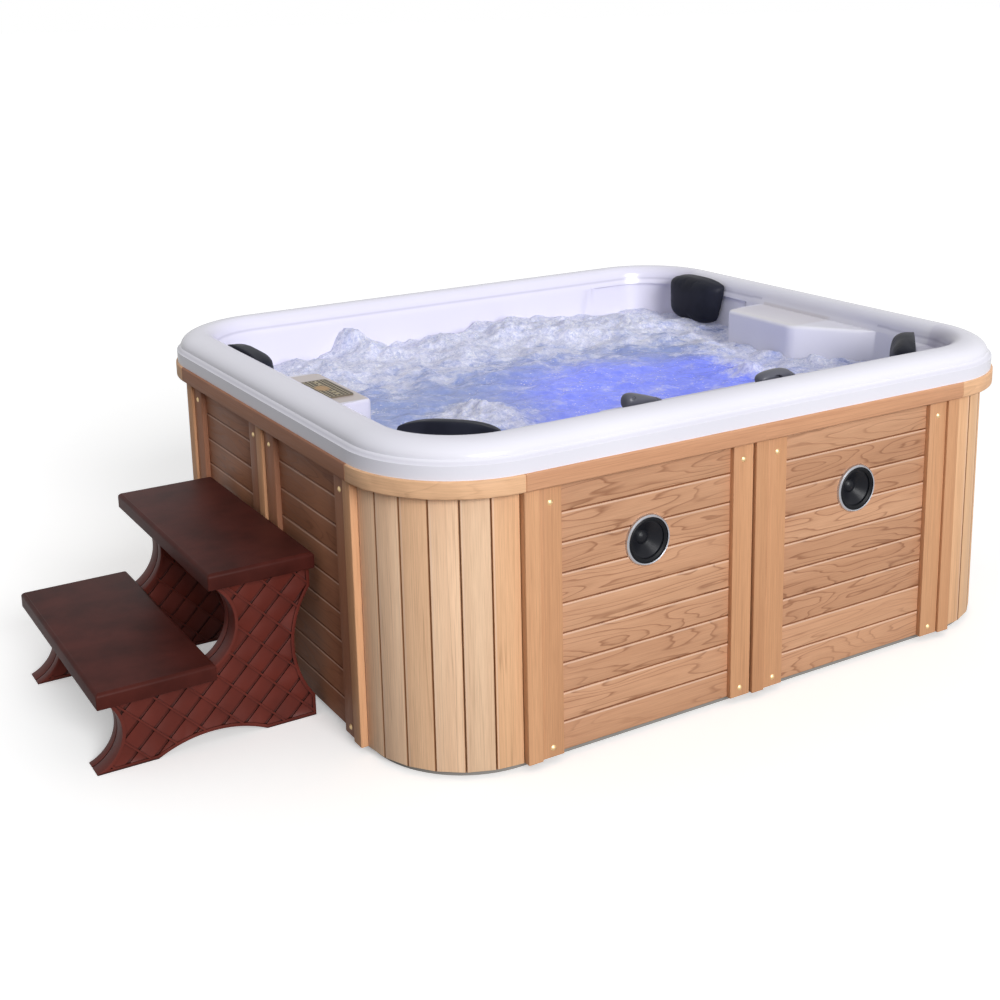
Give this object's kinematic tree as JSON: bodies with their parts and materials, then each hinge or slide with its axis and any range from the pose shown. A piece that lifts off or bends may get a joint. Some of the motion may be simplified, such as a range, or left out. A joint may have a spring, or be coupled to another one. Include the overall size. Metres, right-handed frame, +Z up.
{
  "type": "hot tub",
  "caption": "Rectangular wood-clad hot tub with round corners, a moulded white acrylic shell, dark pillows, lever valves and a control pad, with a two-step brown stool.",
  "frame": {"origin": "centre of the tub cabinet's base, on the floor; the stool stands off to -X and isn't counted in that centre", "axes": "+X along the tub's long sides and away from the stool, -Y is the long front with the two speakers, +Z up"},
  "size_m": [2.814, 1.91, 0.9],
  "materials": {
    "pan": "black moulded pan",
    "frame_timber": "planed softwood",
    "acrylic": "white gloss acrylic",
    "trim_wood": "oiled cedar rail",
    "board_wood": "oiled cedar boards",
    "stile_wood": "oiled cedar stiles",
    "strip_wood": "oiled cedar cover strips",
    "slat_wood": "oiled cedar slats",
    "cap_brass": "satin brass-coloured caps",
    "bezel_chrome": "bright bezel",
    "basket_black": "black",
    "cone_black": "black poly cone",
    "pillow_skin": "soft navy-black skin",
    "handle_grey": "grey moulded lever",
    "valve_plastic": "white moulded body",
    "panel_plastic": "dark olive frame",
    "overlay_film": "printed film",
    "key_rubber": "pale keys",
    "jet_plastic": "silver-grey jets",
    "fitting_white": "white fittings",
    "lens_clear": "clear lens",
    "drain_plastic": "dark grey fitting",
    "motor_paint": "dark paint",
    "pump_plastic": "black wet end",
    "steel": "stainless steel",
    "box_paint": "grey enclosure",
    "cartridge_cloth": "pleated filter cloth",
    "pipe_plastic": "white pipe",
    "step_plastic": "dark red-brown moulding"
  },
  "bodies": {
    "tub": {"base_pan": "pan", "frame_bottom_rail": "frame_timber", "frame_posts": "frame_timber", "frame_top_rail": "frame_timber", "tub_shell": "acrylic", "trim_rails": "trim_wood", "trim_corners": "trim_wood", "boards_front": "board_wood", "boards_right": "board_wood", "boards_back": "board_wood", "boards_left": "board_wood", "stiles_front": "stile_wood", "stiles_right": "stile_wood", "stiles_back": "stile_wood", "stiles_left": "stile_wood", "cover_strips": "strip_wood", "corner_slats": "slat_wood", "screw_caps": "cap_brass", "speaker_bezels": "bezel_chrome", "speaker_baskets": "basket_black", "pillow_back_left": "pillow_skin", "pillow_front_left": "pillow_skin", "pillow_back_right": "pillow_skin", "pillow_front_right": "pillow_skin", "valve_bodies": "valve_plastic", "control_panel": "panel_plastic", "control_overlay": "overlay_film", "jet_bodies": "valve_plastic", "small_jets": "jet_plastic", "suction_covers": "fitting_white", "light_lens": "lens_clear", "drain_valve": "drain_plastic", "power_gland": "drain_plastic", "pump_motor": "motor_paint", "pump_wet_end": "pump_plastic", "heater_tube": "steel", "control_box": "box_paint", "filter_canister": "fitting_white", "filter_cartridge": "cartridge_cloth", "suction_pipe": "pipe_plastic", "pressure_pipe": "pipe_plastic"},
    "diverter_handle": {"diverter_handle": "handle_grey"},
    "air_handle": {"air_handle": "handle_grey"},
    "key_jets": {"key_jets": "key_rubber"},
    "key_light": {"key_light": "key_rubber"},
    "key_warmer": {"key_warmer": "key_rubber"},
    "key_cooler": {"key_cooler": "key_rubber"},
    "jet_face_left": {"jet_face_left": "jet_plastic"},
    "jet_face_front_left": {"jet_face_front_left": "jet_plastic"},
    "jet_face_front_right": {"jet_face_front_right": "jet_plastic"},
    "jet_face_right": {"jet_face_right": "jet_plastic"},
    "speaker_cone_left": {"speaker_cone_left": "cone_black"},
    "speaker_cone_right": {"speaker_cone_right": "cone_black"},
    "pump_rotor": {"pump_rotor": "steel"},
    "drain_ring": {"drain_ring": "drain_plastic"},
    "filter_grille": {"filter_grille": "fitting_white"},
    "steps": {"step_side_near": "step_plastic", "step_side_far": "step_plastic", "step_lower_tread": "step_plastic", "step_upper_tread": "step_plastic"}
  },
  "joints": [
    {"name": "diverter_turn", "type": "hinge", "parent": "tub", "child": "diverter_handle", "pos_m": [-0.321, -0.7755, 0.86], "axis": [0, 0, 1], "range_deg": [-6, 136]},
    {"name": "air_turn", "type": "hinge", "parent": "tub", "child": "air_handle", "pos_m": [0.145, -0.7755, 0.86], "axis": [0, 0, 1], "range_deg": [0, 150]},
    {"name": "key_jets_press", "type": "slide", "parent": "tub", "child": "key_jets", "axis": [0, 0, -1], "range_m": [0, 0.0008], "stiffness_N_per_m": 1500, "springref_m": -0.0004},
    {"name": "key_light_press", "type": "slide", "parent": "tub", "child": "key_light", "axis": [0, 0, -1], "range_m": [0, 0.0008], "stiffness_N_per_m": 1500, "springref_m": -0.0004},
    {"name": "key_warmer_press", "type": "slide", "parent": "tub", "child": "key_warmer", "axis": [0, 0, -1], "range_m": [0, 0.0008], "stiffness_N_per_m": 1500, "springref_m": -0.0004},
    {"name": "key_cooler_press", "type": "slide", "parent": "tub", "child": "key_cooler", "axis": [0, 0, -1], "range_m": [0, 0.0008], "stiffness_N_per_m": 1500, "springref_m": -0.0004},
    {"name": "jet_left_turn", "type": "hinge", "parent": "tub", "child": "jet_face_left", "pos_m": [-0.9271, 0.43, 0.55], "axis": [0.9929, 0, 0.1187], "range_deg": [0, 100]},
    {"name": "jet_front_left_turn", "type": "hinge", "parent": "tub", "child": "jet_face_front_left", "pos_m": [-0.6, -0.7821, 0.55], "axis": [0, 0.9929, 0.1187], "range_deg": [0, 100]},
    {"name": "jet_front_right_turn", "type": "hinge", "parent": "tub", "child": "jet_face_front_right", "pos_m": [0.6, -0.7821, 0.55], "axis": [0, 0.9929, 0.1187], "range_deg": [0, 100]},
    {"name": "jet_right_turn", "type": "hinge", "parent": "tub", "child": "jet_face_right", "pos_m": [0.9271, 0.48, 0.55], "axis": [-0.9929, 0, 0.1187], "range_deg": [0, 100]},
    {"name": "cone_left_stroke", "type": "slide", "parent": "tub", "child": "speaker_cone_left", "axis": [0, -1, 0], "range_m": [-0.0015, 0.0015], "stiffness_N_per_m": 2500},
    {"name": "cone_right_stroke", "type": "slide", "parent": "tub", "child": "speaker_cone_right", "axis": [0, -1, 0], "range_m": [-0.0015, 0.0015], "stiffness_N_per_m": 2500},
    {"name": "rotor_spin", "type": "hinge", "parent": "tub", "child": "pump_rotor", "pos_m": [-0.76, -0.56, 0.128], "axis": [0, 1, 0], "continuous": true},
    {"name": "drain_ring_turn", "type": "hinge", "parent": "tub", "child": "drain_ring", "pos_m": [0.3, 0.93, 0.078], "axis": [0, 1, 0], "range_deg": [0, 90]},
    {"name": "filter_grille_turn", "type": "hinge", "parent": "tub", "child": "filter_grille", "pos_m": [0.515, 0, 0.178], "axis": [-1, 0, 0], "range_deg": [0, 30]},
    {"name": "steps_pull_away", "type": "slide", "parent": "tub", "child": "steps", "axis": [-1, 0, 0], "range_m": [0, 0.6]}
  ]
}
